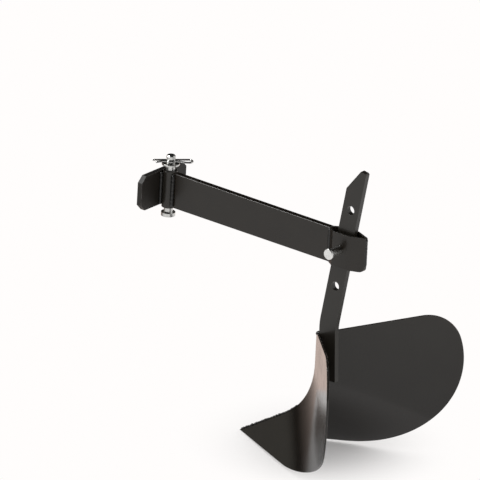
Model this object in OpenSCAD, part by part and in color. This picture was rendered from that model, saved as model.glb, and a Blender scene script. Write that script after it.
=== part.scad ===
// Ridger implement for a walk-behind tiller: drawbar, height pocket, shank and two moldboard wings.
// Travel is toward -Y, +Z is up, and the origin is on the hitch axis at half height of the drawbar.

/* [Drawbar and hitch] */
// Height of the flat drawbar
bar_h = 50.8; // [40:0.1:60]
// Thickness of the drawbar
bar_t = 9.5; // [8:0.1:12]
// Distance from the hitch axis to the rear end of the drawbar
bar_end = 286.5; // [200:1:400]
// Outer diameter of the upright hitch tube
tube_d = 20; // [18:0.5:24]
// Length of the hitch tube between the tiller's flanges
tube_h = 54; // [52:0.5:60]
// Width of the plate that bears on the tiller's bracket
plate_w = 98; // [70:1:120]
// Thickness of that plate
plate_t = 8; // [6:0.5:10]
// Corner cut of that plate
plate_cut = 9; // [4:0.5:15]
// Thickness of one flange of the tiller's bracket, which the hitch pin passes
flange_t = 7; // [5:0.5:10]

/* [Pins] */
// Diameter of both pins
pin_d = 12.7; // [10:0.1:13]
// Diameter of the height pin's head
head_d = 15.9; // [14:0.1:20]
// Thickness of the height pin's head
head_t = 3.6; // [3:0.1:5]
// Length of the height pin beyond the straps when it is home
pin_past = 3.5; // [2:0.5:10]
// Gap between the drawn pin's tip and the shank
pin_clear = 0.5; // [0.3:0.1:2]
// Wire diameter of the spring clip
wire_d = 2.8; // [2:0.1:3.2]

/* [Height pocket] */
// Plate thickness of the two straps
strap_t = 3.2; // [2.5:0.1:3.4]
// Half width of the pocket over its straps
strap_out = 12.6; // [12.6:0.1:16]
// Length of the slanted front stretch of a strap
flare_l = 11.5; // [8:0.5:12]
// Length of the level stretch that carries the pin
level_l = 27; // [24:0.5:30]
// Length of the slanted rear stretch
close_l = 23; // [20:0.5:35]
// Radius of the pocket's lower rear corner
pocket_r = 7; // [4:1:14]

/* [Shank] */
// Width of the shank bar
shank_w = 28; // [26:0.5:28.5]
// Thickness of the shank bar
shank_t = 8; // [6:0.1:8]
// Lean of the upper stretch, top toward the rear
lean = 9.5; // [6:0.1:10]
// Distance between neighbouring height holes
hole_pitch = 60; // [50:1:62]
// Distance from the hitch axis to the height pin
pin_y = 310.4; // [310.2:0.1:312]
// Height of the height pin over the drawbar's middle
pin_z = 1; // [-3:0.5:3]
// Drop from the pin to the start of the lower bend
bend_drop = 113.5; // [110:0.5:115]
// Radius of the lower bend, at the middle of the bar
bend_r = 81; // [60:1:120]
// Lean of the foot below the bend, bottom toward the rear
foot_lean = 3.2; // [0:0.1:4]
// Length of the straight foot
foot_l = 71.5; // [66:0.5:74]
// Height of the front shoulder over the middle hole
shoulder_up = 89; // [80:0.5:95]
// Height of the tip over the middle hole
tip_up = 123; // [115:0.5:135]

/* [Wings] */
// Sheet thickness of the wings
wing_t = 3; // [2:0.1:4]
// Angle between a wing's flat rear part and the direction of travel
wing_a = 47; // [40:0.5:52]
// Tilt of the line that the sheet is rolled about, lower at the outer end
roll_tilt = 22.5; // [15:0.5:30]
// Inner radius of the roll
roll_r = 140; // [120:1:200]
// Angle through which the lower front is rolled
roll_a = 41.5; // [30:0.5:50]
// Distance from the nose to the end of the flat part, measured across the roll line
roll_start = 155.7; // [150:0.1:165]
// Depth of the flat part behind the nose, square to the flat
flat_c = 89; // [80:0.5:95]
// Length of the straight lower edge of a wing's outline, from the nose
low_l = 131; // [110:1:150]
// Radius of the long lower curve of the outline
belly_r = 185; // [160:1:200]
// Radius of the outer curve
side_r = 111; // [95:1:120]
// Radius of the upper outer corner
corner_r = 49.5; // [35:0.5:60]
// Slope of the top edge
top_slope = 9.6; // [5:0.1:12]
// Distance from the hitch axis back to the nose
nose_y = 147.5; // [130:0.5:160]
// Depth of the nose below the drawbar's middle
nose_drop = 317.5; // [300:0.5:330]

/* [Hidden] */
bore_d = pin_d + 0.18;
tube_r = tube_d / 2;
weld_gap = 0.02;

// Straps, seen from above, with X outward
strap_slope = (strap_out - bar_t / 2) / flare_l;
flare_a = atan(strap_slope);
level_y = bar_end + flare_l;
close_y = level_y + level_l;
rear_y = close_y + close_l;
rear_x = 2.5;
pin_tip = shank_t / 2 + pin_clear;
pin_long = 2 * strap_out + pin_past;
close_a = atan((strap_out - rear_x) / close_l);

// Shank, seen from the side
bend_s = -bend_drop;
bend_n = 12;

// Wings, in a frame whose origin is the nose
arc_drop = roll_r * sin(roll_a);
low_turn = 1.5;
belly_a = 44.5;
side_a = 62;

// Hitch pin levels
flange_top = tube_h / 2 + 1 + flange_t;
washer_t = 2.5;
clip_z = flange_top + washer_t + 4.2;
pin_top = clip_z + 7.5;
clip_turn = 135.8;

steel = [0.20, 0.19, 0.18];
worn = [0.30, 0.28, 0.27];
zinc = [0.78, 0.78, 0.76];

// Path helpers for round bars that follow a row of points
function unit(v) = v / norm(v);
function dir_at(p, i) = unit(p[min(i + 1, len(p) - 1)] - p[max(i - 1, 0)]);

// A round bar of radius r along points p, all in one plane with normal up
module bar_along(p, r, up, sides = 8) {
    n = len(p);
    rings = [for (i = [0 : n - 1])
        let (d = dir_at(p, i), a = unit(cross(d, up)))
        for (k = [0 : sides - 1])
        p[i] + r * (cos(360 * k / sides) * a + sin(360 * k / sides) * up)];
    walls = [for (i = [0 : n - 2]) for (k = [0 : sides - 1])
        let (a = i * sides + k, b = i * sides + (k + 1) % sides, c = a + sides, d = b + sides)
        each [[a, b, d], [a, d, c]]];
    caps = concat(
        [for (k = [1 : sides - 2]) [0, k + 1, k]],
        [for (k = [1 : sides - 2]) [(n - 1) * sides, (n - 1) * sides + k, (n - 1) * sides + k + 1]]);
    polyhedron(points = rings, faces = concat(walls, caps), convexity = 6);
}

module hitch_bore(h, d) {
    cylinder(h = h, d = d, center = true, $fn = 64);
}

// Bore along X at the height pin
module cross_bore(d, l) {
    translate([0, pin_y, pin_z]) rotate([0, 90, 0]) cylinder(h = l, d = d, center = true, $fn = 64);
}

module drawbar() {
    color(steel) difference() {
        translate([-bar_t / 2, 0, -bar_h / 2]) cube([bar_t, bar_end, bar_h]);
        cylinder(h = bar_h + 2, d = tube_d, center = true, $fn = 64);
    }
}

module hitch_tube() {
    color(steel) difference() {
        cylinder(h = tube_h, d = tube_d, center = true, $fn = 64);
        hitch_bore(tube_h + 2, bore_d);
    }
}

module head_plate() {
    w = plate_w / 2;
    h = bar_h / 2;
    c = plate_cut;
    color(steel) translate([0, -tube_r, 0]) rotate([90, 0, 0]) linear_extrude(height = plate_t)
        polygon([[-w + c, -h], [w - c, -h], [w, -h + c], [w, h - c],
            [w - c, h], [-w + c, h], [-w, h - c], [-w, -h + c]]);
}

// Upright weld in the corner between tube and drawbar, on the side of +X
module tube_weld() {
    difference() {
        translate([0, 0, -bar_h / 2 + 1]) linear_extrude(height = bar_h - 2)
            polygon([[bar_t / 2, 8.2], [bar_t / 2, 14], [bar_t / 2 + 1.6, 12.8],
                [bar_t / 2 + 3.4, 10.2], [bar_t / 2 + 3.6, 6.4]]);
        cylinder(h = bar_h + 4, r = tube_r, center = true, $fn = 64);
    }
}

module tube_weld_left() {
    color(worn) tube_weld();
}

module tube_weld_right() {
    color(worn) mirror([1, 0, 0]) tube_weld();
}

// Upright weld in the corner between tube and plate, on the side of +X
module plate_weld() {
    difference() {
        translate([0, 0, -bar_h / 2 + 1]) linear_extrude(height = bar_h - 2)
            polygon([[4, -tube_r], [11.5, -tube_r], [11.2, -8.2], [9.4, -5.8], [7.5, -5]]);
        cylinder(h = bar_h + 4, r = tube_r, center = true, $fn = 64);
    }
}

module plate_weld_left() {
    color(worn) plate_weld();
}

module plate_weld_right() {
    color(worn) mirror([1, 0, 0]) plate_weld();
}

// One strap: slanted out from the drawbar's end, level past the shank, slanted in to the mitre
module strap() {
    ti = strap_t / cos(flare_a);
    tc = strap_t / cos(close_a);
    k1 = strap_t * tan(flare_a / 2);
    k2 = strap_t * tan(close_a / 2);
    front_in = bar_t / 2 - ti;
    cut_y = close_y + (strap_out - tc) / tan(close_a);
    outline = [[bar_t / 2, bar_end], [strap_out, level_y], [strap_out, close_y], [rear_x, rear_y],
        [0, rear_y], [0, cut_y], [strap_out - strap_t, close_y - k2],
        [strap_out - strap_t, level_y + k1], [front_in, bar_end]];
    difference() {
        intersection() {
            translate([0, 0, -bar_h / 2]) linear_extrude(height = bar_h) polygon(outline);
            rotate([90, 0, 90]) linear_extrude(height = 40, center = true)
                polygon(concat([[bar_end - 1, -bar_h / 2 - 1], [bar_end - 1, bar_h / 2 + 1],
                    [rear_y + 1, bar_h / 2 + 1], [rear_y + 1, -bar_h / 2 + pocket_r],
                    [rear_y, -bar_h / 2 + pocket_r]],
                    [for (a = [10 : 10 : 80]) [rear_y - pocket_r + pocket_r * cos(a),
                        -bar_h / 2 + pocket_r - pocket_r * sin(a)]],
                    [[rear_y - pocket_r, -bar_h / 2], [rear_y - pocket_r, -bar_h / 2 - 1]]));
        }
        cross_bore(bore_d, 60);
    }
}

module strap_left() {
    color(steel) strap();
}

module strap_right() {
    color(steel) mirror([1, 0, 0]) strap();
}

// Weld in the shallow groove where a strap leaves the drawbar's end, on the side of +X
module strap_weld() {
    w = bar_t / 2;
    translate([0, 0, -bar_h / 2 + 1]) linear_extrude(height = bar_h - 2)
        polygon([[w, bar_end - 3.5], [w + 0.9, bar_end - 2.4], [w + 1.6, bar_end],
            [w + 2.1, bar_end + 2], [w + 3.4 * strap_slope + weld_gap, bar_end + 3.4],
            [w + weld_gap, bar_end]]);
}

module strap_weld_left() {
    color(worn) strap_weld();
}

module strap_weld_right() {
    color(worn) mirror([1, 0, 0]) strap_weld();
}

// Weld bead over the mitred rear edge of the pocket
module pocket_end_weld() {
    color(worn) translate([0, 0, -bar_h / 2 + pocket_r + 1]) linear_extrude(height = bar_h - pocket_r - 2)
        polygon([[-rear_x, rear_y], [rear_x, rear_y], [rear_x - 0.7, rear_y + 1.1],
            [0, rear_y + 1.6], [-rear_x + 0.7, rear_y + 1.1]]);
}

// Point of the shank's side outline: s along the leaning axis, w across it, positive to the rear
function lean_pt(s, w) = [pin_y + s * sin(lean) + w * cos(lean), pin_z + s * cos(lean) - w * sin(lean)];
// Point of the lower bend, which turns from the upper lean to that of the foot
function bend_pt(a, w) =
    let (c = lean_pt(bend_s, bend_r))
    [c[0] - (bend_r - w) * cos(a), c[1] + (bend_r - w) * sin(a)];

// Point of the foot: s down from the bend, w across it
function foot_pt(s, w) = bend_pt(-foot_lean, w) + s * [sin(foot_lean), -cos(foot_lean)];

function shank_outline() =
    let (h = shank_w / 2, turn = lean + foot_lean)
    concat([lean_pt(shoulder_up, -h), lean_pt(tip_up, h - 10), lean_pt(tip_up, h - 1.5),
        lean_pt(tip_up - 1.5, h)],
        [for (i = [0 : bend_n]) bend_pt(lean - turn * i / bend_n, h)],
        [foot_pt(foot_l, h), foot_pt(foot_l, -h)],
        [for (i = [bend_n : -1 : 0]) bend_pt(lean - turn * i / bend_n, -h)]);

module shank() {
    color(steel) difference() {
        rotate([90, 0, 90]) linear_extrude(height = shank_t, center = true) polygon(shank_outline());
        for (i = [-1 : 1])
            translate([0, i * hole_pitch * sin(lean), i * hole_pitch * cos(lean)])
                cross_bore(bore_d, shank_t + 4);
    }
}

// Frame of one wing: x along the flat to the outside, y up, z to the front
module wing_frame() {
    translate([0, nose_y, -nose_drop]) rotate([0, 0, 90 - wing_a]) rotate([90, 0, 0]) children();
}

// The rolled sheet without its outline, front face at the measured surface
module rolled_sheet() {
    far = 360;
    rotate([0, 0, 90 - roll_tilt]) rotate([-90, 0, 0]) {
        translate([roll_start, flat_c, -far]) cube([260, wing_t, 2 * far]);
        translate([roll_start, flat_c - roll_r, 0]) intersection() {
            difference() {
                cylinder(h = 2 * far, r = roll_r + wing_t, center = true, $fn = 180);
                cylinder(h = 2 * far + 2, r = roll_r, center = true, $fn = 180);
            }
            linear_extrude(height = 2 * far + 4, center = true)
                polygon([[0, 0], [0, 2 * roll_r], [-2 * roll_r * sin(roll_a), 2 * roll_r],
                    [-2 * roll_r * sin(roll_a), 2 * roll_r * cos(roll_a)]]);
        }
        translate([roll_start, flat_c - roll_r, 0]) rotate([0, 0, roll_a])
            translate([-140, roll_r, -far]) cube([140, wing_t, 2 * far]);
    }
}

// Points of an arc that leaves p under heading h and turns left by f
function arc_row(p, h, r, f, n) = [for (i = [1 : n])
    p + r * [sin(h + f * i / n) - sin(h), cos(h) - cos(h + f * i / n)]];
function last(row) = row[len(row) - 1];

// Outline of one wing on its flat, with the nose at the origin
low_end = low_l * [cos(low_turn), sin(low_turn)];
belly_row = arc_row(low_end, low_turn, belly_r, belly_a, 9);
side_row = arc_row(last(belly_row), low_turn + belly_a, side_r, side_a, 12);
corner_row = arc_row(last(side_row), low_turn + belly_a + side_a, corner_r,
    180 + top_slope - low_turn - belly_a - side_a, 12);
top_at_0 = last(corner_row)[1] - last(corner_row)[0] * tan(top_slope);
function wing_outline() = concat([[-60, -60 * tan(low_turn)], low_end], belly_row, side_row,
    corner_row, [[-60, top_at_0 - 60 * tan(top_slope)]]);

module wing() {
    intersection() {
        wing_frame() rolled_sheet();
        wing_frame() linear_extrude(height = 320, center = true) polygon(wing_outline());
        translate([0, nose_y - 60, -nose_drop - 60]) cube([300, 460, 360]);
    }
}

module wing_left() {
    color(steel) wing();
}

module wing_right() {
    color(steel) mirror([1, 0, 0]) wing();
}

// Depth of the sheet's front face across the roll line
function sheet_c(b) =
    let (t = max(roll_start - b, 0), k = min(t, arc_drop))
    flat_c - (roll_r - sqrt(roll_r * roll_r - k * k)) - max(t - arc_drop, 0) * tan(roll_a);
// Point of the prow seam, in the plane between the wings
function seam_pt(b) =
    let (y = sheet_c(b) / sin(wing_a), z = (b - sin(roll_tilt) * cos(wing_a) * y) / cos(roll_tilt))
    [0, nose_y + y, z - nose_drop];
function seam_row(b0, b1, n, off) = [for (i = [0 : n])
    let (b = b0 + (b1 - b0) * i / n, d = unit(seam_pt(b + 0.5) - seam_pt(b - 0.5)))
    seam_pt(b) + off * [0, -d[2], d[1]]];

// Weld bead in front of the lower prow seam; above it the seam is flush
module prow_weld() {
    color(worn) bar_along(seam_row(4, 84, 16, 1.22), 1.2, [1, 0, 0]);
}

// Tack over the seam's top end, in front of the shank
module prow_tack() {
    y0 = nose_y + flat_c / sin(wing_a);
    z0 = top_at_0 + flat_c / tan(wing_a) * tan(top_slope) - nose_drop;
    cut = weld_gap / cos(top_slope);
    color(worn) difference() {
        translate([0, y0 + 3, z0 - 0.8]) sphere(r = 4.6, $fn = 32);
        translate([-6, y0 + 7.2, z0 - 6]) cube([12, 6, 12]);
        for (side = [0, 1])
            mirror([side, 0, 0]) wing_frame() translate([0, cut, 0])
                linear_extrude(height = 320, center = true) polygon(wing_outline());
    }
}

// Inner weld between the shank's side and a wing, on the side of +X
module shank_weld() {
    y0 = nose_y + (flat_c + wing_t) / sin(wing_a) + weld_gap;
    x0 = shank_t / 2;
    k = cos(wing_a) / sin(wing_a);
    translate([0, 0, 122 - nose_drop]) linear_extrude(height = 56)
        polygon([[x0, y0 + x0 * k], [x0, y0 + 14], [x0 + 2.4, y0 + 12.4],
            [x0 + 4.6, y0 + (x0 + 4.6) * k]]);
}

module shank_weld_left() {
    color(worn) shank_weld();
}

module shank_weld_right() {
    color(worn) mirror([1, 0, 0]) shank_weld();
}

// Weld under the shank's lower end
module shank_toe_weld() {
    r = 2.2;
    foot = foot_pt(foot_l + r, r - shank_w / 2);
    half = (foot[0] - r - nose_y - (flat_c + wing_t) / sin(wing_a)) * tan(wing_a);
    color(worn) translate([0, foot[0], foot[1]]) rotate([0, 90, 0])
        cylinder(h = 2 * half - 0.1, r = r, center = true, $fn = 32);
}

// Shaft of the height pin, drawn until its tip is clear of the shank
module height_pin() {
    color(zinc) translate([pin_tip, pin_y, pin_z]) rotate([0, 90, 0]) {
        cylinder(h = 1, d1 = pin_d - 2, d2 = pin_d, $fn = 64);
        translate([0, 0, 1]) cylinder(h = pin_long - 1, d = pin_d, $fn = 64);
    }
}

module height_pin_head() {
    color(zinc) translate([pin_tip + pin_long, pin_y, pin_z]) rotate([0, 90, 0]) {
        cylinder(h = head_t - 0.8, d = head_d, $fn = 64);
        translate([0, 0, head_t - 0.8]) cylinder(h = 0.8, d1 = head_d, d2 = head_d - 1.6, $fn = 64);
    }
}

// Hitch pin, headed below the lower flange and crossed by the clip above the upper one
module hitch_pin() {
    low = -flange_top;
    color(zinc) difference() {
        union() {
            translate([0, 0, low - 5]) cylinder(h = 5, d = 20, $fn = 64);
            translate([0, 0, low]) cylinder(h = pin_top - 1.2 - low, d = pin_d, $fn = 64);
            translate([0, 0, pin_top - 1.2]) cylinder(h = 1.2, d1 = pin_d, d2 = pin_d - 2.4, $fn = 64);
        }
        translate([0, 0, clip_z]) rotate([0, 0, clip_turn]) rotate([0, 90, 0])
            cylinder(h = 30, d = wire_d + 0.4, center = true, $fn = 32);
    }
}

module hitch_washer() {
    color(zinc) translate([0, 0, flange_top]) difference() {
        cylinder(h = washer_t, d = 25, $fn = 64);
        translate([0, 0, -1]) cylinder(h = washer_t + 2, d = bore_d, $fn = 64);
    }
}

// Spring clip: straight leg through the pin, round spring eye, bent leg hugging the pin
clip_grip = pin_d / 2 + wire_d / 2 + 0.2;
clip_row = concat(
    [[-26, 0, 0], [-10, 0, 0], [8, 0, 0], [20, 0, 0]],
    [for (a = [-75 : 15 : 75]) [24 + 5.5 * cos(a), 5.5 + 5.5 * sin(a), 0]],
    [[21, 11, 0], [16, 9, 0], [11.5, 6.6, 0]],
    [for (a = [45 : 15 : 135]) [clip_grip * cos(a), clip_grip * sin(a), 0]],
    [[-9, 4.6, 0], [-13, 4.6, 0], [-18, 6.5, 0], [-22, 8.5, 0]]);

module hitch_clip() {
    color(zinc) translate([0, 0, clip_z]) rotate([0, 0, clip_turn]) mirror([0, 1, 0])
        bar_along(clip_row, wire_d / 2, [0, 0, 1]);
}

drawbar();
hitch_tube();
head_plate();
tube_weld_left();
tube_weld_right();
plate_weld_left();
plate_weld_right();
strap_left();
strap_right();
strap_weld_left();
strap_weld_right();
pocket_end_weld();
shank();
wing_left();
wing_right();
prow_weld();
prow_tack();
shank_weld_left();
shank_weld_right();
shank_toe_weld();
height_pin();
height_pin_head();
hitch_pin();
hitch_washer();
hitch_clip();
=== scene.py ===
"""Looks of the ridger implement: drawbar, height pocket, shank and two rolled moldboard wings."""

import math
import random

import bmesh
import bpy
import numpy as np
from mathutils import Matrix, Vector, noise


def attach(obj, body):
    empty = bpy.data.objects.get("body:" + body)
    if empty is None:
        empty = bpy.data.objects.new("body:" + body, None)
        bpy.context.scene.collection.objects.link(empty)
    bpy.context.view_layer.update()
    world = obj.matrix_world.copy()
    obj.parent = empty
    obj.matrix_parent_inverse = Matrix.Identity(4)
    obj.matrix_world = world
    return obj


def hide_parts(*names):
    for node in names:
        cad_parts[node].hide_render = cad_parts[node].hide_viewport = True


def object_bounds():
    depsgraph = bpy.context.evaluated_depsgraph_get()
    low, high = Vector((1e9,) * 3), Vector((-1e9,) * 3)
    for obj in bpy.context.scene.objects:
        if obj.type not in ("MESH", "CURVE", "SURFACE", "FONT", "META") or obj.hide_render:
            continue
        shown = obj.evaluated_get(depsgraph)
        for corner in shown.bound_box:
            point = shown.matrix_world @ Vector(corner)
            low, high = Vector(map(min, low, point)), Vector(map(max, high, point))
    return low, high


MM = 0.001

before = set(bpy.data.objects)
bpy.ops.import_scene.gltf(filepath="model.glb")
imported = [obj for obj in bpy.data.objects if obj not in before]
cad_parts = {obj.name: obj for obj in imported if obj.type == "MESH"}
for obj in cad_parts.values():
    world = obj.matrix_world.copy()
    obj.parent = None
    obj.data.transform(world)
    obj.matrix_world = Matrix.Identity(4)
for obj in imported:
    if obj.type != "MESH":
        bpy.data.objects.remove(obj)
cad_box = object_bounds()
scene = bpy.context.scene

# The part's measures in millimetres, as in the CAD source
# drawbar and height pocket
BAR_H, BAR_END = 50.8, 286.5
FLARE_L, LEVEL_L, CLOSE_L = 11.5, 27.0, 23.0
REAR_Y = BAR_END + FLARE_L + LEVEL_L + CLOSE_L
POCKET_R = 7.0
# height pin and its head
PIN_Y, PIN_Z, PIN_R, PIN_TIP, PIN_LONG = 310.4, 1.0, 6.35, 4.5, 28.7
TIP_ROUND, TIP_DEEP = 1.5, 1.2
HEAD_R, HEAD_T = 7.95, 3.6
HEAD_UNDER, HEAD_ROUND, HEAD_DISH = 0.5, 1.0, 0.1
# wings: sheet, roll and outline
WING_T, WING_A, ROLL_TILT = 3.0, math.radians(47), math.radians(22.5)
ROLL_R, ROLL_A, ROLL_START, FLAT_C = 140.0, math.radians(41.5), 155.7, 89.0
LOW_L, LOW_TURN = 131.0, math.radians(1.5)
BELLY_R, BELLY_A, SIDE_R, SIDE_A = 185.0, math.radians(44.5), 111.0, math.radians(62)
CORNER_R, TOP_SLOPE = 49.5, math.radians(9.6)
NOSE_Y, NOSE_Z = 147.5, -317.5
WING_MIDDLE = (150.0, 112.0)
SWELL, SWELL_RATE = 0.16, 0.014
# shank welds and the lump over the seam
SHANK_WELD_Y, SHANK_WELD_LOW, SHANK_WELD_TOP = 282.0, -194.0, -140.0
TOE_HALF, TOE_Y, TOE_Z = 7.2, 283.0, -203.1
TACK_AT, TACK_RADII = Vector((0, 273.6, -138.0)), (4.2, 4.6, 4.4)
# spring clip
CLIP_Z, CLIP_TURN, WIRE_R, LOOP_R = 41.7, math.radians(135.8), 1.4, 5.5


# Camera: a view without perspective, at the angle, scale and roll of the photograph
VIEW_AZ, VIEW_EL, VIEW_ROLL = math.radians(127.7), math.radians(21.8), math.radians(3.0)
PX_PER_MM = 0.725
NOSE_PIXEL = (241.5, 430.0)
FRAME_PX = 480
CAMERA_AWAY = 2.0


def make_camera():
    right = Vector((math.cos(VIEW_AZ), math.sin(VIEW_AZ), 0))
    level = math.cos(VIEW_EL)
    back = Vector((math.sin(VIEW_AZ) * level, -math.cos(VIEW_AZ) * level, math.sin(VIEW_EL)))
    up = back.cross(right)
    across = right * math.cos(VIEW_ROLL) + up * math.sin(VIEW_ROLL)
    upward = up * math.cos(VIEW_ROLL) - right * math.sin(VIEW_ROLL)
    nose = Vector((0, NOSE_Y, NOSE_Z)) * MM
    dx = (FRAME_PX / 2 - NOSE_PIXEL[0]) / PX_PER_MM * MM
    dy = (FRAME_PX / 2 - NOSE_PIXEL[1]) / PX_PER_MM * MM
    centre = nose + across * dx - upward * dy
    lo, hi = cad_box
    middle = (lo + hi) / 2
    centre += back * (middle - centre).dot(back)
    data = bpy.data.cameras.new("camera")
    data.type = "ORTHO"
    data.ortho_scale = FRAME_PX / PX_PER_MM * MM
    data.clip_start, data.clip_end = 0.05, 20.0
    cam = bpy.data.objects.new("camera", data)
    turn = Matrix((across, upward, back)).transposed().to_4x4()
    cam.matrix_world = Matrix.Translation(centre + back * CAMERA_AWAY) @ turn
    scene.collection.objects.link(cam)
    scene.camera = cam


# Materials

def add(tree, kind, ins=None, **props):
    """One shader node with its settings and inputs: numbers, colours or the sockets of other nodes."""
    made = tree.nodes.new(kind)
    for key, value in props.items():
        setattr(made, key, value)
    for key, value in (ins or {}).items():
        if isinstance(value, bpy.types.NodeSocket):
            tree.links.new(value, made.inputs[key])
        else:
            made.inputs[key].default_value = value
    return made


def new_material(name):
    mat = bpy.data.materials.new(name)
    mat.use_nodes = True
    tree = mat.node_tree
    tree.nodes.clear()
    return mat, tree


def millimetres(tree, stretch=(1, 1, 1)):
    place = add(tree, "ShaderNodeTexCoord").outputs["Object"]
    return add(tree, "ShaderNodeMapping", {"Vector": place, "Scale": [1000 * s for s in stretch]}).outputs[0]


def noise_of(tree, vector, scale, detail=2.0, rough=0.5):
    return add(tree, "ShaderNodeTexNoise", {"Vector": vector, "Scale": scale, "Detail": detail,
                                            "Roughness": rough}).outputs["Fac"]


def ramp(tree, value, low, high, out_low=0.0, out_high=1.0):
    return add(tree, "ShaderNodeMapRange", {"Value": value, "From Min": low, "From Max": high,
                                            "To Min": out_low, "To Max": out_high}).outputs[0]


def mix_colour(tree, fac, a, b):
    made = add(tree, "ShaderNodeMix", data_type="RGBA")
    for index, value in ((0, fac), (6, a), (7, b)):
        if isinstance(value, bpy.types.NodeSocket):
            tree.links.new(value, made.inputs[index])
        else:
            made.inputs[index].default_value = value
    return made.outputs[2]


def maths(tree, op, a, b):
    return add(tree, "ShaderNodeMath", {0: a, 1: b}, operation=op).outputs[0]


def bump(tree, height, distance, below=None):
    ins = {"Height": height, "Distance": distance, "Strength": 1.0}
    if below is not None:
        ins["Normal"] = below
    return add(tree, "ShaderNodeBump", ins).outputs[0]


def finish_material(tree, **ins):
    shader = add(tree, "ShaderNodeBsdfPrincipled", {k.replace("_", " "): v for k, v in ins.items()})
    out = add(tree, "ShaderNodeOutputMaterial")
    tree.links.new(shader.outputs[0], out.inputs[0])


# colours shared by the paints and platings
DUST = (0.018, 0.017, 0.016, 1)
THIN_PAINT = (0.085, 0.08, 0.075, 1)
SPATTER = (0.10, 0.09, 0.08, 1)
DULL_ZINC = (0.38, 0.37, 0.36, 1)


def paint(name, dark, light, rough, peel, wave, grain=(1, 1, 1), fade=None):
    """Semi-gloss black paint: orange peel, long waves, faint grain, dust and thin paint on the edges; with
    fade, also painted shade that darkens it towards the bottom.
    """
    mat, tree = new_material(name)
    mm = millimetres(tree)
    along = millimetres(tree, grain)
    cloud = noise_of(tree, mm, 0.028, 4.0, 0.6)
    fine = noise_of(tree, along, 0.9, 5.0, 0.65)
    speck = noise_of(tree, mm, 2.4, 2.0)
    tone = ramp(tree, cloud, 0.35, 0.68)
    # painted shade: with fade, the colour runs from dark low down to light higher up, standing in for the
    # shade near the floor; the cloudy tone keeps a fifth of its weight
    if fade:
        height = add(tree, "ShaderNodeSeparateXYZ", {0: mm}).outputs["Z"]
        painted_shade_rise = ramp(tree, height, fade[0], fade[1], 0.0, 0.8)
        tone = maths(tree, "ADD", maths(tree, "MULTIPLY", tone, 0.2), painted_shade_rise)
    colour = mix_colour(tree, tone, dark, light)
    dust = maths(tree, "MULTIPLY", ramp(tree, speck, 0.6, 0.8), ramp(tree, cloud, 0.45, 0.7, 0.0, 0.3))
    colour = mix_colour(tree, dust, colour, DUST)
    edge = add(tree, "ShaderNodeAttribute", attribute_name="wear").outputs["Fac"]
    chipped = ramp(tree, noise_of(tree, mm, 0.22, 5.0, 0.7), 0.46, 0.66)
    worn = maths(tree, "MULTIPLY", edge, ramp(tree, chipped, 0.0, 1.0, 0.12, 0.75))
    colour = mix_colour(tree, worn, colour, THIN_PAINT)
    gloss = ramp(tree, fine, 0.3, 0.7, rough - 0.02, rough + 0.03)
    gloss = maths(tree, "ADD", gloss, ramp(tree, cloud, 0.3, 0.7, -0.02, 0.03))
    gloss = maths(tree, "ADD", gloss, ramp(tree, dust, 0.0, 1.0, 0.0, 0.08))
    normal = bump(tree, noise_of(tree, mm, 0.55, 2.0, 0.4), peel * MM)
    normal = bump(tree, fine, peel * 0.35 * MM, normal)
    normal = bump(tree, noise_of(tree, mm, 0.02, 1.0, 0.3), wave * MM, normal)
    finish_material(tree, Base_Color=colour, Roughness=gloss, Normal=normal)
    return mat


def weld_paint(name, dark, light):
    """Paint over a weld bead: rough, with spatter and bare glints."""
    mat, tree = new_material(name)
    mm = millimetres(tree)
    lumps = noise_of(tree, mm, 0.7, 4.0, 0.6)
    grit = noise_of(tree, mm, 2.6, 3.0, 0.6)
    colour = mix_colour(tree, ramp(tree, lumps, 0.35, 0.7), dark, light)
    colour = mix_colour(tree, ramp(tree, grit, 0.62, 0.74, 0.0, 0.5), colour, SPATTER)
    normal = bump(tree, lumps, 0.16 * MM)
    normal = bump(tree, grit, 0.05 * MM, normal)
    finish_material(tree, Base_Color=colour, Roughness=ramp(tree, grit, 0.3, 0.7, 0.2, 0.4), Normal=normal)
    return mat


def plated(name, tint, shade, rough, lines):
    """Bright zinc plate: turned lines, cloudy gloss and small dull spots."""
    mat, tree = new_material(name)
    mm = millimetres(tree)
    turned = noise_of(tree, millimetres(tree, lines), 1.0, 3.0, 0.7)
    cloud = noise_of(tree, mm, 0.35, 4.0, 0.6)
    spots = ramp(tree, noise_of(tree, mm, 1.6, 3.0, 0.6), 0.6, 0.72)
    colour = mix_colour(tree, ramp(tree, cloud, 0.3, 0.7), tint, shade)
    colour = mix_colour(tree, maths(tree, "MULTIPLY", spots, 0.5), colour, DULL_ZINC)
    gloss = maths(tree, "ADD", ramp(tree, turned, 0.3, 0.7, rough - 0.05, rough + 0.08),
                  maths(tree, "MULTIPLY", spots, 0.12))
    normal = bump(tree, turned, 0.02 * MM)
    normal = bump(tree, cloud, 0.01 * MM, normal)
    finish_material(tree, Base_Color=colour, Metallic=1.0, Roughness=gloss, Normal=normal)
    return mat


BAR_DARK, BAR_LIGHT = (0.0085, 0.0058, 0.0032, 1), (0.0120, 0.0085, 0.0052, 1)
SHANK_DARK, SHANK_LIGHT = (0.0135, 0.0115, 0.0085, 1), (0.0160, 0.0135, 0.0105, 1)
SHEET_DARK, SHEET_LIGHT = (0.0035, 0.0020, 0.0008, 1), (0.0125, 0.0105, 0.0080, 1)
WELD_DARK, WELD_LIGHT = (0.006, 0.0057, 0.0054, 1), (0.016, 0.015, 0.014, 1)
FLAT_ZINC, FLAT_ZINC_SHADE = (0.93, 0.93, 0.91, 1), (0.80, 0.80, 0.79, 1)
ROUND_ZINC, ROUND_ZINC_SHADE = (0.78, 0.78, 0.76, 1), (0.6, 0.6, 0.59, 1)
WIRE_BRIGHT, WIRE_SHADE = (0.70, 0.70, 0.69, 1), (0.52, 0.52, 0.51, 1)
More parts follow.
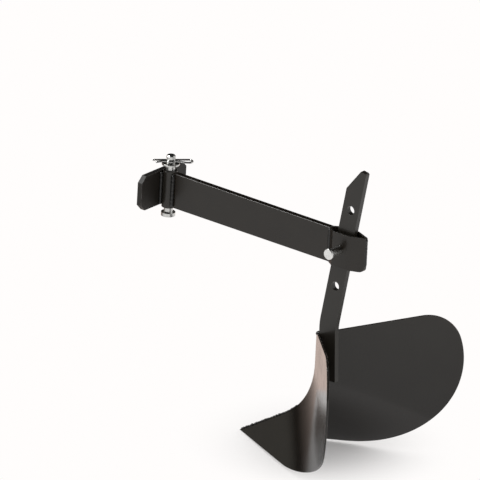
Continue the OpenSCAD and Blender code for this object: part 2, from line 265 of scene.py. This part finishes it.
# stretch of the fine grain along the drawbar (Y) and up the shank (Z)
GRAIN_Y, GRAIN_Z = (0.6, 0.08, 0.6), (0.6, 0.6, 0.08)
# height in mm over which the sheets' paint goes from dark to light: painted shade, darker towards the floor
SHEET_SHADE_HEIGHTS = (-310, -130)

BAR_PAINT = paint("bar_paint", BAR_DARK, BAR_LIGHT, 0.30, 0.004, 0.05, GRAIN_Y)
PLATE_PAINT = paint("plate_paint", BAR_DARK, BAR_LIGHT, 0.55, 0.006, 0.05)
SHANK_PAINT = paint("shank_paint", SHANK_DARK, SHANK_LIGHT, 0.30, 0.004, 0.05, GRAIN_Z)
# the sheets' paint carries painted shade, darker towards the floor
SHEET_PAINT = paint("sheet_paint", SHEET_DARK, SHEET_LIGHT, 0.20, 0.003, 0.10, fade=SHEET_SHADE_HEIGHTS)
WELD_PAINT = weld_paint("weld_paint", WELD_DARK, WELD_LIGHT)
ZINC = plated("zinc_plate", FLAT_ZINC, FLAT_ZINC_SHADE, 0.22, (2.2, 0.2, 0.2))
ZINC_ROUND = plated("zinc_plate_upright", ROUND_ZINC, ROUND_ZINC_SHADE, 0.25, (0.2, 0.2, 2.2))
WIRE = plated("spring_wire", WIRE_BRIGHT, WIRE_SHADE, 0.2, (0.6, 0.6, 0.6))


# Mesh helpers

def to_object(bm, name, material, weighted=True):
    mesh = bpy.data.meshes.new(name)
    bm.normal_update()
    for face in bm.faces:
        face.smooth = True
    bm.to_mesh(mesh)
    bm.free()
    mesh.materials.append(material)
    obj = bpy.data.objects.new(name, mesh)
    scene.collection.objects.link(obj)
    if weighted:
        mod = obj.modifiers.new("normals", "WEIGHTED_NORMAL")
        mod.weight = 80
        mod.keep_sharp = False
    return obj


def place(obj, body, slot_name, *nodes):
    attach(obj, body)
    if nodes:
        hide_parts(*nodes)
    return obj


def round_edges(bm, radius, segments=3, angle=28.0, keep=None):
    """Rounds every edge sharper than angle, and marks the corners of the new faces as worn."""
    wear = bm.loops.layers.float_color.new("wear")
    for face in bm.faces:
        for loop in face.loops:
            loop[wear] = (0, 0, 0, 1)
    sharp = [e for e in bm.edges if len(e.link_faces) == 2 and e.calc_face_angle(0) > math.radians(angle)
             and not (keep and keep(e))]
    made = bmesh.ops.bevel(bm, geom=sharp, offset=radius * MM, offset_type="OFFSET", segments=segments,
                           profile=0.5, affect="EDGES", clamp_overlap=True)
    for face in made["faces"]:
        for loop in face.loops:
            loop[wear] = (1, 1, 1, 1)


def from_cad(node, material, body, slot_name, radius, segments=3, angle=28.0):
    """A CAD node's form with rounded edges."""
    bm = bmesh.new()
    bm.from_mesh(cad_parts[node].data)
    bmesh.ops.remove_doubles(bm, verts=bm.verts, dist=3e-6)
    bmesh.ops.dissolve_limit(bm, angle_limit=math.radians(0.4), verts=bm.verts, edges=bm.edges)
    round_edges(bm, radius, segments, angle)
    return place(to_object(bm, node + "_piece", material), body, slot_name, node)


def lathe(profile, sides, axis_turn, origin):
    """A turned solid: profile is (height, radius) along +Z, closed on the axis at both ends."""
    bm = bmesh.new()
    turn = Matrix.Translation(Vector(origin) * MM) @ axis_turn.to_4x4()
    rows = []
    for height, radius in profile:
        if radius < 1e-6:
            rows.append([bm.verts.new(turn @ Vector((0, 0, height * MM)))])
        else:
            rows.append([bm.verts.new(turn @ Vector((radius * MM * math.cos(2 * math.pi * k / sides),
                                                     radius * MM * math.sin(2 * math.pi * k / sides),
                                                     height * MM))) for k in range(sides)])
    for a, b in zip(rows, rows[1:]):
        for k in range(sides):
            k2 = (k + 1) % sides
            if len(a) == 1:
                bm.faces.new((a[0], b[k2], b[k]))
            elif len(b) == 1:
                bm.faces.new((a[k], a[k2], b[0]))
            else:
                bm.faces.new((a[k], a[k2], b[k2], b[k]))
    bmesh.ops.recalc_face_normals(bm, faces=bm.faces)
    return bm


def smooth_path(points, per=6):
    """Catmull-Rom through points."""
    pts = [Vector(p) for p in points]
    ends = [2 * pts[0] - pts[1]] + pts + [2 * pts[-1] - pts[-2]]
    out = []
    for i in range(1, len(ends) - 2):
        p0, p1, p2, p3 = ends[i - 1:i + 3]
        for k in range(per):
            t = k / per
            out.append(0.5 * ((2 * p1) + (p2 - p0) * t + (2 * p0 - 5 * p1 + 4 * p2 - p3) * t * t
                              + (3 * p1 - p0 - 3 * p2 + p3) * t ** 3))
    out.append(pts[-1])
    return out


def sweep(path, side, radii, sides, wide=1.0):
    """A closed bar along path, in mm: one radius per point, and wide stretches it along side."""
    bm = bmesh.new()
    rings = []
    count = len(path)
    for i, p in enumerate(path):
        tangent = (path[min(i + 1, count - 1)] - path[max(i - 1, 0)]).normalized()
        a = (side - tangent * side.dot(tangent)).normalized()
        b = tangent.cross(a)
        ring = []
        for k in range(sides):
            w = 2 * math.pi * k / sides
            q = p + a * (wide * radii[i] * math.cos(w)) + b * (radii[i] * math.sin(w))
            ring.append(bm.verts.new(q * MM))
        rings.append(ring)
    for r1, r2 in zip(rings, rings[1:]):
        for k in range(sides):
            k2 = (k + 1) % sides
            bm.faces.new((r1[k], r1[k2], r2[k2], r2[k]))
    bm.faces.new(rings[0][::-1])
    bm.faces.new(rings[-1])
    bmesh.ops.recalc_face_normals(bm, faces=bm.faces)
    return bm


def bead(name, node, body, path, side, radius, wide, seed, pitch=1.9, ragged=0.10):
    """A weld bead: overlapping ripples, uneven width and rounded ends."""
    rng = random.Random(seed)
    dense, length = [], [0.0]
    for a, b in zip(path, path[1:]):
        steps = max(1, int((b - a).length / 0.4))
        dense += [a.lerp(b, k / steps) for k in range(steps)]
    dense.append(path[-1])
    for a, b in zip(dense, dense[1:]):
        length.append(length[-1] + (b - a).length)
    total = length[-1]
    shift, radii = rng.random() * 50, []
    for s in length:
        ripple = (s / pitch + 0.25 * noise.noise(Vector((s * 0.3, shift, 0)))) % 1.0
        body_r = radius * (1 + ragged * noise.noise(Vector((s * 0.35, 7.0, shift))) * 1.6
                           + 0.10 * (math.sqrt(max(0.0, 1 - ripple ** 2)) - 0.7))
        end = min(s, total - s) / (radius * 0.9)
        radii.append(body_r * math.sqrt(max(0.02, 1 - (1 - min(1.0, end)) ** 2)))
    bm = sweep(dense, side, radii, 16, wide)
    for v in bm.verts:
        q = v.co / MM
        v.co += v.normal * MM * 0.10 * noise.noise(q * 1.3 + Vector((shift, 0, 0)))
    obj = to_object(bm, name, WELD_PAINT, weighted=False)
    return place(obj, body, "painted_weld", node)


# Wings

def sheet_depth(b, off):
    """Depth of the sheet's face at b across the roll: flat at the top, an arc, then flat again."""
    t = max(ROLL_START - b, 0.0)
    r = ROLL_R + off
    k = min(t, r * math.sin(ROLL_A))
    return FLAT_C - ROLL_R + math.sqrt(r * r - k * k) - max(t - r * math.sin(ROLL_A), 0.0) * math.tan(ROLL_A)


def roll_coord(x, y):
    """Distance across the roll's axis of a point in the sheet's flat coordinates."""
    return x * math.sin(ROLL_TILT) + y * math.cos(ROLL_TILT)


def in_wing(x, y, c):
    """Row-frame point in mm of the left wing, from its flat coordinates and depth."""
    return Vector((x * math.sin(WING_A) - c * math.cos(WING_A),
                   x * math.cos(WING_A) + c * math.sin(WING_A) + NOSE_Y, y + NOSE_Z))


def arc_row(p, heading, r, turn, n):
    """n points of an arc that leaves p in the direction of heading."""
    return [(p[0] + r * (math.sin(heading + turn * i / n) - math.sin(heading)),
             p[1] + r * (math.cos(heading) - math.cos(heading + turn * i / n))) for i in range(1, n + 1)]


def outline_open():
    """The outline from the straight lower edge round to the end of the upper corner."""
    low_end = (LOW_L * math.cos(LOW_TURN), LOW_L * math.sin(LOW_TURN))
    rows = [low_end]
    belly_end = LOW_TURN + BELLY_A
    side_end = LOW_TURN + BELLY_A + SIDE_A
    corner = math.pi + TOP_SLOPE - LOW_TURN - BELLY_A - SIDE_A
    rows += arc_row(rows[-1], LOW_TURN, BELLY_R, BELLY_A, 48)
    rows += arc_row(rows[-1], belly_end, SIDE_R, SIDE_A, 44)
    rows += arc_row(rows[-1], side_end, CORNER_R, corner, 30)
    return rows


def seam_at(b, off):
    """Flat coordinates of the seam, where the sheet meets the plane between the wings."""
    x = sheet_depth(b, off) / math.tan(WING_A)
    return x, (b - x * math.sin(ROLL_TILT)) / math.cos(ROLL_TILT)


def solve(f, lo, hi):
    """Where f changes its sign between lo and hi."""
    sign = f(lo) > 0
    for _ in range(60):
        mid = (lo + hi) / 2
        if (f(mid) > 0) == sign:
            lo = mid
        else:
            hi = mid
    return (lo + hi) / 2


def wing_boundary(off):
    """Closed boundary of one face of a wing, counterclockwise from the nose."""
    round_part = outline_open()
    end = round_part[-1]
    low = solve(lambda b: seam_at(b, off)[1] - seam_at(b, off)[0] * math.tan(LOW_TURN), -8, 60)
    top = solve(lambda b: seam_at(b, off)[1] - (end[1] + (seam_at(b, off)[0] - end[0]) * math.tan(TOP_SLOPE)),
                120, 260)
    start, stop = seam_at(low, off), seam_at(top, off)
    n_low, n_top, n_seam = 44, 52, 76
    rows = [(start[0] + (round_part[0][0] - start[0]) * i / n_low,
             start[1] + (round_part[0][1] - start[1]) * i / n_low) for i in range(n_low)]
    rows += round_part
    rows += [(end[0] + (stop[0] - end[0]) * i / n_top, end[1] + (stop[1] - end[1]) * i / n_top)
             for i in range(1, n_top + 1)]
    rows += [seam_at(top + (low - top) * i / n_seam, off) for i in range(1, n_seam)]
    return rows


def swell(x, y, seed):
    """Shallow unevenness of the rolled sheet, in mm."""
    return SWELL * noise.noise(Vector((x * SWELL_RATE, y * SWELL_RATE, seed)))


def wing(name, node, side, seed):
    """One rolled sheet: rings of faces from its edge to its middle on both sides, with a rounded rim."""
    bm = bmesh.new()
    insets = [0.0, 0.012, 0.04, 0.08] + [0.08 + 0.92 * i / 20 for i in range(1, 20)]
    faces_of = []
    for off in (0.0, WING_T):
        boundary = wing_boundary(off)
        rings = []
        for f in insets:
            ring = []
            for x, y in boundary:
                px, py = x + (WING_MIDDLE[0] - x) * f, y + (WING_MIDDLE[1] - y) * f
                b = roll_coord(px, py)
                q = in_wing(px, py, sheet_depth(b, off) + swell(px, py, seed) * min(1.0, f * 12))
                ring.append(bm.verts.new(Vector((q.x * side, q.y, q.z)) * MM))
            rings.append(ring)
        b = roll_coord(*WING_MIDDLE)
        q = in_wing(*WING_MIDDLE, sheet_depth(b, off) + swell(*WING_MIDDLE, seed))
        hub = bm.verts.new(Vector((q.x * side, q.y, q.z)) * MM)
        faces_of.append(rings)
        n = len(rings[0])
        for r1, r2 in zip(rings, rings[1:]):
            for k in range(n):
                bm.faces.new((r1[k], r1[(k + 1) % n], r2[(k + 1) % n], r2[k]))
        for k in range(n):
            bm.faces.new((rings[-1][k], rings[-1][(k + 1) % n], hub))
    front, back = faces_of[0][0], faces_of[1][0]
    n = len(front)
    for k in range(n):
        bm.faces.new((front[k], front[(k + 1) % n], back[(k + 1) % n], back[k]))
    bmesh.ops.recalc_face_normals(bm, faces=bm.faces)
    round_edges(bm, 0.5, 3, 40.0, keep=lambda edge: all(abs(v.co.x) < 2e-5 for v in edge.verts))
    obj = to_object(bm, name, SHEET_PAINT)
    return place(obj, "shank", "wing_paint", node)


def seam_point(b, out):
    """Point of the seam in the row frame, out mm in front of it."""
    x, y = seam_at(b, 0.0)
    q = in_wing(x, y, sheet_depth(b, 0.0))
    x2, y2 = seam_at(b + 0.5, 0.0)
    q2 = in_wing(x2, y2, sheet_depth(b + 0.5, 0.0))
    d = (q2 - q).normalized()
    return q + out * Vector((0, -d.z, d.y))


# Pieces

def upright(x, y, z0, z1):
    return [Vector((x, y, z0)), Vector((x, y, z1))]


def build_hitch():
    from_cad("drawbar", BAR_PAINT, "drawbar", "black_paint", 1.2, 5)
    from_cad("head_plate", PLATE_PAINT, "drawbar", "black_paint", 0.6, 3)
    from_cad("hitch_tube", SHANK_PAINT, "drawbar", "black_paint", 0.5, 3, 40)
    half = BAR_H / 2 - 1.5
    for sign, tag in ((1, "left"), (-1, "right")):
        turn = Vector((0.6 * sign, 0.8, 0))
        bead(f"tube_weld_{tag}_bead", f"tube_weld_{tag}", "drawbar",
             upright(sign * 5.9, 9.7, -half, half), turn, 2.7, 1.25, 11 + sign)
        bead(f"plate_weld_{tag}_bead", f"plate_weld_{tag}", "drawbar",
             upright(sign * 8.7, -8.5, -half, half), Vector((0.7 * sign, 0.7, 0)), 2.4, 1.15, 21 + sign)
        bead(f"strap_weld_{tag}_bead", f"strap_weld_{tag}", "drawbar",
             upright(sign * 5.0, BAR_END, -half, half), Vector((0, 1, 0)), 1.3, 1.9, 31 + sign, 1.7, 0.14)
        from_cad(f"strap_{tag}", BAR_PAINT, "drawbar", "black_paint", 0.5, 3)
    seam = upright(0, REAR_Y - 0.1, -BAR_H / 2 + POCKET_R + 1.2, BAR_H / 2 - 1.2)
    bead("pocket_end_weld_bead", "pocket_end_weld", "drawbar", seam, Vector((1, 0, 0)),
         1.6, 1.5, 41, 1.8, 0.12)


def build_shank():
    from_cad("shank", SHANK_PAINT, "shank", "black_paint", 0.6, 3)
    wing("wing_left_sheet", "wing_left", 1, 3.0)
    wing("wing_right_sheet", "wing_right", -1, 9.0)
    rows = [seam_point(b, 0.1) for b in np.linspace(2.0, 84.0, 40)]
    bead("prow_weld_bead", "prow_weld", "shank", rows, Vector((1, 0, 0)), 1.0, 1.2, 51, 2.4, 0.8)
    for sign, tag in ((1, "left"), (-1, "right")):
        inner = upright(sign * 5.8, SHANK_WELD_Y, SHANK_WELD_LOW, SHANK_WELD_TOP)
        bead(f"shank_weld_{tag}_bead", f"shank_weld_{tag}", "shank", inner, Vector((sign, 1, 0)),
             3.0, 1.2, 61 + sign, 2.4, 0.12)
    toe = [Vector((-TOE_HALF, TOE_Y, TOE_Z)), Vector((TOE_HALF, TOE_Y, TOE_Z))]
    bead("shank_toe_bead", "shank_toe_weld", "shank", toe, Vector((0, 1, 0)), 2.2, 1.0, 71, 2.2, 0.12)
    tack("prow_tack_dome", "prow_tack", TACK_AT, TACK_RADII, 81)


def tack(name, node, centre, radii, seed):
    """A lumpy dome of weld with a flat underside."""
    rows = []
    for i in range(17):
        a = math.pi * i / 16
        rows.append((-math.cos(a), math.sin(a)))
    bm = lathe(rows, 32, Matrix.Identity(3), (0, 0, 0))
    for v in bm.verts:
        q = v.co / MM
        lump = 1 + 0.16 * noise.noise(q * 1.9 + Vector((seed, 0, 0)))
        high = max(q.z, -0.12)
        v.co = (centre + Vector((q.x * radii[0], q.y * radii[1], high * radii[2])) * min(lump, 1.0)) * MM
    return place(to_object(bm, name, WELD_PAINT, weighted=False), "shank", "painted_weld", node)


def build_height_pin():
    along_x = Matrix.Rotation(math.pi / 2, 3, "Y")
    edge = PIN_R - TIP_ROUND
    body = [(0, 0), (0.0, edge)]
    body += [(TIP_DEEP - TIP_DEEP * math.cos(a), edge + TIP_ROUND * math.sin(a))
             for a in (0.4, 0.8, 1.2, math.pi / 2)]
    body += [(z, PIN_R) for z in (6, 14, 22, PIN_LONG - 0.5, PIN_LONG)]
    body += [(PIN_LONG, 0)]
    bm = lathe(body, 72, along_x, (PIN_TIP, PIN_Y, PIN_Z))
    place(to_object(bm, "height_pin_shaft", ZINC), "height_pin", "zinc", "height_pin")
    edge = HEAD_R - HEAD_UNDER
    head = [(0, 0), (0, edge)]
    head += [(HEAD_UNDER - HEAD_UNDER * math.cos(a), edge + HEAD_UNDER * math.sin(a))
             for a in (0.5, 1.0, math.pi / 2)]
    edge, low = HEAD_R - HEAD_ROUND, HEAD_T - HEAD_ROUND
    head += [(low, HEAD_R)]
    head += [(low + HEAD_ROUND * math.sin(a), edge + HEAD_ROUND * math.cos(a))
             for a in (0.35, 0.7, 1.05, 1.4, math.pi / 2)]
    head += [(HEAD_T - 0.02, HEAD_R - 3.0), (HEAD_T - HEAD_DISH, 2.2), (HEAD_T - HEAD_DISH, 0)]
    bm = lathe(head, 72, along_x, (PIN_TIP + PIN_LONG, PIN_Y, PIN_Z))
    place(to_object(bm, "height_pin_cap", ZINC), "height_pin", "zinc", "height_pin_head")


def build_hitch_pin():
    from_cad("hitch_pin", ZINC_ROUND, "hitch_pin", "zinc", 0.45, 3)
    from_cad("hitch_washer", ZINC_ROUND, "hitch_pin", "zinc", 0.4, 3)
    # the clip seen from above, before its turn: straight leg, loop and the leg that grips the pin
    rows = [(x, 0) for x in (-26, -18, -10, 0, 10, 18)]
    rows += [(24 + LOOP_R * math.cos(a), LOOP_R + LOOP_R * math.sin(a))
             for a in np.radians(range(-90, 91, 15))]
    rows += [(20.5, 10.8), (16, 9), (11.5, 6.6)]
    grip = PIN_R + WIRE_R + 0.2
    rows += [(grip * math.cos(a), grip * math.sin(a)) for a in np.radians(range(45, 136, 15))]
    rows += [(-9, 4.7), (-13, 4.8), (-18, 6.5), (-22, 8.5)]
    turn = Matrix.Rotation(CLIP_TURN, 3, "Z")
    path = smooth_path([turn @ Vector((x, -y, 0)) + Vector((0, 0, CLIP_Z)) for x, y in rows], 5)
    length = [0.0]
    for a, b in zip(path, path[1:]):
        length.append(length[-1] + (b - a).length)
    ends = [min(1.0, min(s, length[-1] - s) / 0.6) for s in length]
    radii = [WIRE_R * math.sqrt(max(0.1, 1 - (1 - e) ** 2)) for e in ends]
    place(to_object(sweep(path, Vector((0, 0, 1)), radii, 18), "hitch_clip_wire", WIRE, weighted=False),
          "hitch_pin", "spring_wire", "hitch_clip")


make_camera()
build_hitch()
build_shank()
build_height_pin()
build_hitch_pin()


# Floor, light and background

FLOOR_WHITE = (0.857, 0.842, 0.835)
AMBIENT = 1.167
WHITE = tuple(AMBIENT * c for c in FLOOR_WHITE) + (1,)
FLOOR_AT, FLOOR_DROP, FLOOR_SHARE = (-0.04, 0.25), 0.0005, 0.84
FLOOR_FADE = (0.04, 0.2)
SOFTBOX_AT, SOFTBOX_AIM, SOFTBOX_SIZE, SOFTBOX_WATTS = (1.05, -1.45, 2.1), (0, 0.15, 0), 0.9, 65
# what the gloss mirrors, by direction: the ground, the ceiling and two cards
PALE_GROUND = (0.83, 0.82, 0.81, 1)
WARM_DIM, WARM_BRIGHT = (0.13, 0.105, 0.09, 1), (1.1, 0.88, 0.78, 1)
CEILING = (0.012, 0.012, 0.012, 1)
GREY_CARD, GREY_CARD_AT = (0.40, 0.38, 0.34, 1), (0, -0.963, 0.27)
WHITE_CARD, WHITE_CARD_AT = (0.9, 0.9, 0.9, 1), (-0.66, 0.65, 0.38)
WARM_SIDE = (-0.45, -0.89, 0)


def make_stage():
    """A pale floor, solid under the part and fading into the white background."""
    bm = bmesh.new()
    bmesh.ops.create_circle(bm, cap_ends=True, segments=96, radius=FLOOR_FADE[1])
    floor_mat, tree = new_material("floor")
    where = add(tree, "ShaderNodeTexCoord").outputs["Object"]
    away = add(tree, "ShaderNodeVectorMath", {0: where}, operation="LENGTH").outputs["Value"]
    fade = {"Value": away, "From Min": FLOOR_FADE[0], "From Max": FLOOR_FADE[1],
            "To Min": FLOOR_SHARE, "To Max": 0.0}
    solid = add(tree, "ShaderNodeMapRange", fade, interpolation_type="SMOOTHSTEP").outputs[0]
    grain = noise_of(tree, millimetres(tree), 0.004, 2.0)
    matt = ramp(tree, grain, 0.3, 0.7, 0.9, 1.0)
    shaded = mix_colour(tree, solid, (0, 0, 0, 1), (*FLOOR_WHITE, 1))
    own = mix_colour(tree, solid, WHITE, (0, 0, 0, 1))
    finish_material(tree, Base_Color=shaded, Roughness=matt, Specular_IOR_Level=0.0, Emission_Color=own,
                    Emission_Strength=1.0)
    floor = to_object(bm, "floor", floor_mat, weighted=False)
    floor.location = (*FLOOR_AT, cad_box[0].z - FLOOR_DROP)


def make_softbox():
    """One soft light that only the gloss shows."""
    data = bpy.data.lights.new("glint_box", "AREA")
    data.shape = "RECTANGLE"
    data.size = data.size_y = SOFTBOX_SIZE
    data.energy = SOFTBOX_WATTS
    lamp = bpy.data.objects.new("glint_box", data)
    lamp.location = SOFTBOX_AT
    lamp.rotation_mode = "QUATERNION"
    lamp.rotation_quaternion = (Vector(SOFTBOX_AIM) - Vector(SOFTBOX_AT)).to_track_quat("-Z", "Y")
    lamp.visible_diffuse = False
    scene.collection.objects.link(lamp)


def facing(tree, way, toward):
    return add(tree, "ShaderNodeVectorMath", {0: way, 1: toward}, operation="DOT_PRODUCT").outputs["Value"]


def make_world():
    """A soft white surround, with a dark ceiling and a pale ground for the gloss to mirror."""
    world = bpy.data.worlds.new("world")
    scene.world = world
    world.use_nodes = True
    tree = world.node_tree
    tree.nodes.clear()
    way = add(tree, "ShaderNodeTexCoord").outputs["Generated"]
    parts = add(tree, "ShaderNodeSeparateXYZ", {0: way}).outputs
    # the ground far off: pale grey, but warm and uneven in front of the part
    side = maths(tree, "POWER", ramp(tree, parts["X"], -0.10, -0.62), 1.1)
    warm = mix_colour(tree, side, WARM_DIM, WARM_BRIGHT)
    ground = mix_colour(tree, ramp(tree, facing(tree, way, WARM_SIDE), 0.3, 0.72), PALE_GROUND, warm)
    grey_card = ramp(tree, facing(tree, way, GREY_CARD_AT), 0.86, 0.98)
    grey_card = maths(tree, "MULTIPLY", grey_card, ramp(tree, parts["Z"], 0.10, 0.27))
    above = mix_colour(tree, grey_card, CEILING, GREY_CARD)
    white_card = ramp(tree, facing(tree, way, WHITE_CARD_AT), 0.82, 0.95)
    above = mix_colour(tree, white_card, above, WHITE_CARD)
    room = mix_colour(tree, ramp(tree, parts["Z"], -0.03, 0.05), ground, above)
    path = add(tree, "ShaderNodeLightPath").outputs
    colour = mix_colour(tree, path["Is Diffuse Ray"], room, (AMBIENT, AMBIENT, AMBIENT, 1))
    colour = mix_colour(tree, path["Is Camera Ray"], colour, WHITE)
    back = add(tree, "ShaderNodeBackground", {"Color": colour, "Strength": 1.0})
    out = add(tree, "ShaderNodeOutputWorld")
    tree.links.new(back.outputs[0], out.inputs[0])
    scene.view_settings.view_transform = "Standard"


make_stage()
make_softbox()
make_world()
